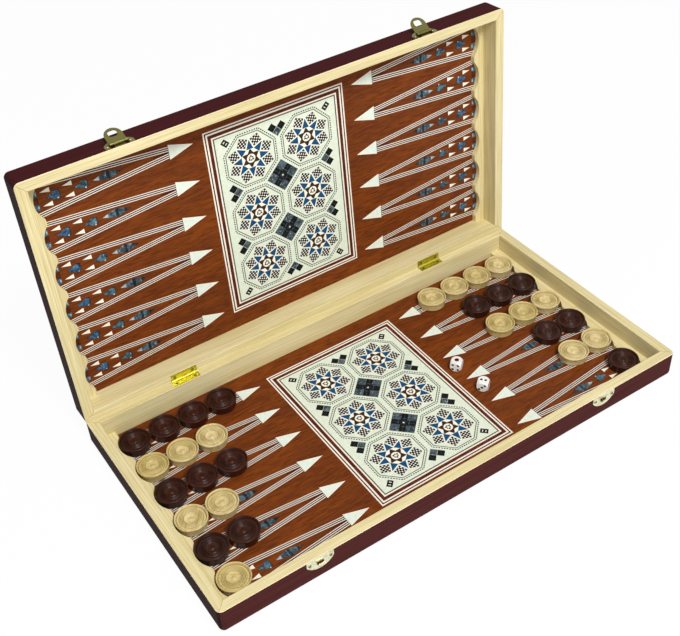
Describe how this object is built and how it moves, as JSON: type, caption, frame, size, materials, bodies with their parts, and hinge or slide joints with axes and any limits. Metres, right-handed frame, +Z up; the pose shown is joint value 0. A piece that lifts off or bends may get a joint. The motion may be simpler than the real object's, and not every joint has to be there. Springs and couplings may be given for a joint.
{
  "type": "folding game set",
  "caption": "Folding wooden game box standing open, inlaid backgammon board inside both trays, chess squares outside, turned draughts pieces, dice, brass hinges and swing catches.",
  "frame": {"origin": "centre of the lower tray's underside", "axes": "+X along the box's length, +Y from the front rail to the hinges, +Z up"},
  "size_m": [0.494, 0.2978, 0.2887],
  "materials": {
    "pale_wood": "pale softwood, satin lacquer, outer faces stained burgundy",
    "board_wood": "mahogany-coloured board, satin lacquer",
    "rack_wood": "pale softwood, satin lacquer",
    "point_inlay": "pale inlay, satin lacquer",
    "panel_inlay": "pale and dark marquetry, satin lacquer",
    "square_inlay": "pale veneer, satin lacquer",
    "hinge_brass": "bright brass plating",
    "catch_brass": "pale brass plating",
    "screw_brass": "brass plating",
    "dark_wood": "dark brown lacquer, glossy",
    "light_wood": "clear lacquer, glossy",
    "dice_plastic": "white, glossy"
  },
  "bodies": {
    "lower_tray": {"lower_front_rail": "pale_wood", "lower_hinge_rail": "pale_wood", "lower_left_rail": "pale_wood", "lower_right_rail": "pale_wood", "lower_board": "board_wood", "lower_racks": "rack_wood", "lower_point_inlays": "point_inlay", "lower_centre_panel": "panel_inlay", "lower_chess_squares": "square_inlay", "lower_hinge_leaves": "hinge_brass", "hinge_pins": "hinge_brass", "catch_keepers": "catch_brass", "lower_screws": "screw_brass"},
    "lid": {"upper_front_rail": "pale_wood", "upper_hinge_rail": "pale_wood", "upper_left_rail": "pale_wood", "upper_right_rail": "pale_wood", "upper_board": "board_wood", "upper_racks": "rack_wood", "upper_point_inlays": "point_inlay", "upper_centre_panel": "panel_inlay", "upper_chess_squares": "square_inlay", "upper_hinge_leaves": "hinge_brass", "catch_bases": "catch_brass", "catch_pins": "catch_brass", "upper_screws": "screw_brass"},
    "left_tab": {"left_catch_tab": "catch_brass"},
    "right_tab": {"right_catch_tab": "catch_brass"},
    "dark_piece_01": {"dark_piece_01": "dark_wood"},
    "dark_piece_02": {"dark_piece_02": "dark_wood"},
    "dark_piece_03": {"dark_piece_03": "dark_wood"},
    "dark_piece_04": {"dark_piece_04": "dark_wood"},
    "dark_piece_05": {"dark_piece_05": "dark_wood"},
    "dark_piece_06": {"dark_piece_06": "dark_wood"},
    "dark_piece_07": {"dark_piece_07": "dark_wood"},
    "dark_piece_08": {"dark_piece_08": "dark_wood"},
    "dark_piece_09": {"dark_piece_09": "dark_wood"},
    "dark_piece_10": {"dark_piece_10": "dark_wood"},
    "dark_piece_11": {"dark_piece_11": "dark_wood"},
    "dark_piece_12": {"dark_piece_12": "dark_wood"},
    "dark_piece_13": {"dark_piece_13": "dark_wood"},
    "dark_piece_14": {"dark_piece_14": "dark_wood"},
    "dark_piece_15": {"dark_piece_15": "dark_wood"},
    "light_piece_01": {"light_piece_01": "light_wood"},
    "light_piece_02": {"light_piece_02": "light_wood"},
    "light_piece_03": {"light_piece_03": "light_wood"},
    "light_piece_04": {"light_piece_04": "light_wood"},
    "light_piece_05": {"light_piece_05": "light_wood"},
    "light_piece_06": {"light_piece_06": "light_wood"},
    "light_piece_07": {"light_piece_07": "light_wood"},
    "light_piece_08": {"light_piece_08": "light_wood"},
    "light_piece_09": {"light_piece_09": "light_wood"},
    "light_piece_10": {"light_piece_10": "light_wood"},
    "light_piece_11": {"light_piece_11": "light_wood"},
    "light_piece_12": {"light_piece_12": "light_wood"},
    "light_piece_13": {"light_piece_13": "light_wood"},
    "light_piece_14": {"light_piece_14": "light_wood"},
    "light_piece_15": {"light_piece_15": "light_wood"},
    "die_one": {"die_one": "dice_plastic"},
    "die_two": {"die_two": "dice_plastic"}
  },
  "joints": [
    {"name": "lid_hinge", "type": "hinge", "parent": "lower_tray", "child": "lid", "pos_m": [0, 0.1256, 0.0277], "axis": [-1, 0, 0], "range_deg": [-93.6, 86.4]},
    {"name": "left_tab_hinge", "type": "hinge", "parent": "lid", "child": "left_tab", "pos_m": [-0.1545, 0.14608, 0.27991], "axis": [-1, 0, 0], "range_deg": [-157, 3]},
    {"name": "right_tab_hinge", "type": "hinge", "parent": "lid", "child": "right_tab", "pos_m": [0.1545, 0.14608, 0.27991], "axis": [-1, 0, 0], "range_deg": [-143, 17]},
    {"name": "dark_piece_01_lift", "type": "slide", "parent": "lower_tray", "child": "dark_piece_01", "axis": [0, 0, 1], "range_m": [0, 0.03]},
    {"name": "dark_piece_02_lift", "type": "slide", "parent": "lower_tray", "child": "dark_piece_02", "axis": [0, 0, 1], "range_m": [0, 0.03]},
    {"name": "dark_piece_03_lift", "type": "slide", "parent": "lower_tray", "child": "dark_piece_03", "axis": [0, 0, 1], "range_m": [0, 0.03]},
    {"name": "dark_piece_04_lift", "type": "slide", "parent": "lower_tray", "child": "dark_piece_04", "axis": [0, 0, 1], "range_m": [0, 0.03]},
    {"name": "dark_piece_05_lift", "type": "slide", "parent": "lower_tray", "child": "dark_piece_05", "axis": [0, 0, 1], "range_m": [0, 0.03]},
    {"name": "dark_piece_06_lift", "type": "slide", "parent": "lower_tray", "child": "dark_piece_06", "axis": [0, 0, 1], "range_m": [0, 0.03]},
    {"name": "dark_piece_07_lift", "type": "slide", "parent": "lower_tray", "child": "dark_piece_07", "axis": [0, 0, 1], "range_m": [0, 0.03]},
    {"name": "dark_piece_08_lift", "type": "slide", "parent": "lower_tray", "child": "dark_piece_08", "axis": [0, 0, 1], "range_m": [0, 0.03]},
    {"name": "dark_piece_09_lift", "type": "slide", "parent": "lower_tray", "child": "dark_piece_09", "axis": [0, 0, 1], "range_m": [0, 0.03]},
    {"name": "dark_piece_10_lift", "type": "slide", "parent": "lower_tray", "child": "dark_piece_10", "axis": [0, 0, 1], "range_m": [0, 0.03]},
    {"name": "dark_piece_11_lift", "type": "slide", "parent": "lower_tray", "child": "dark_piece_11", "axis": [0, 0, 1], "range_m": [0, 0.03]},
    {"name": "dark_piece_12_lift", "type": "slide", "parent": "lower_tray", "child": "dark_piece_12", "axis": [0, 0, 1], "range_m": [0, 0.03]},
    {"name": "dark_piece_13_lift", "type": "slide", "parent": "lower_tray", "child": "dark_piece_13", "axis": [0, 0, 1], "range_m": [0, 0.03]},
    {"name": "dark_piece_14_lift", "type": "slide", "parent": "lower_tray", "child": "dark_piece_14", "axis": [0, 0, 1], "range_m": [0, 0.03]},
    {"name": "dark_piece_15_lift", "type": "slide", "parent": "lower_tray", "child": "dark_piece_15", "axis": [0, 0, 1], "range_m": [0, 0.03]},
    {"name": "light_piece_01_lift", "type": "slide", "parent": "lower_tray", "child": "light_piece_01", "axis": [0, 0, 1], "range_m": [0, 0.03]},
    {"name": "light_piece_02_lift", "type": "slide", "parent": "lower_tray", "child": "light_piece_02", "axis": [0, 0, 1], "range_m": [0, 0.03]},
    {"name": "light_piece_03_lift", "type": "slide", "parent": "lower_tray", "child": "light_piece_03", "axis": [0, 0, 1], "range_m": [0, 0.03]},
    {"name": "light_piece_04_lift", "type": "slide", "parent": "lower_tray", "child": "light_piece_04", "axis": [0, 0, 1], "range_m": [0, 0.03]},
    {"name": "light_piece_05_lift", "type": "slide", "parent": "lower_tray", "child": "light_piece_05", "axis": [0, 0, 1], "range_m": [0, 0.03]},
    {"name": "light_piece_06_lift", "type": "slide", "parent": "lower_tray", "child": "light_piece_06", "axis": [0, 0, 1], "range_m": [0, 0.03]},
    {"name": "light_piece_07_lift", "type": "slide", "parent": "lower_tray", "child": "light_piece_07", "axis": [0, 0, 1], "range_m": [0, 0.03]},
    {"name": "light_piece_08_lift", "type": "slide", "parent": "lower_tray", "child": "light_piece_08", "axis": [0, 0, 1], "range_m": [0, 0.03]},
    {"name": "light_piece_09_lift", "type": "slide", "parent": "lower_tray", "child": "light_piece_09", "axis": [0, 0, 1], "range_m": [0, 0.03]},
    {"name": "light_piece_10_lift", "type": "slide", "parent": "lower_tray", "child": "light_piece_10", "axis": [0, 0, 1], "range_m": [0, 0.03]},
    {"name": "light_piece_11_lift", "type": "slide", "parent": "lower_tray", "child": "light_piece_11", "axis": [0, 0, 1], "range_m": [0, 0.03]},
    {"name": "light_piece_12_lift", "type": "slide", "parent": "lower_tray", "child": "light_piece_12", "axis": [0, 0, 1], "range_m": [0, 0.03]},
    {"name": "light_piece_13_lift", "type": "slide", "parent": "lower_tray", "child": "light_piece_13", "axis": [0, 0, 1], "range_m": [0, 0.03]},
    {"name": "light_piece_14_lift", "type": "slide", "parent": "lower_tray", "child": "light_piece_14", "axis": [0, 0, 1], "range_m": [0, 0.03]},
    {"name": "light_piece_15_lift", "type": "slide", "parent": "lower_tray", "child": "light_piece_15", "axis": [0, 0, 1], "range_m": [0, 0.03]},
    {"name": "die_one_lift", "type": "slide", "parent": "lower_tray", "child": "die_one", "axis": [0, 0, 1], "range_m": [0, 0.03]},
    {"name": "die_two_lift", "type": "slide", "parent": "lower_tray", "child": "die_two", "axis": [0, 0, 1], "range_m": [0, 0.03]}
  ]
}
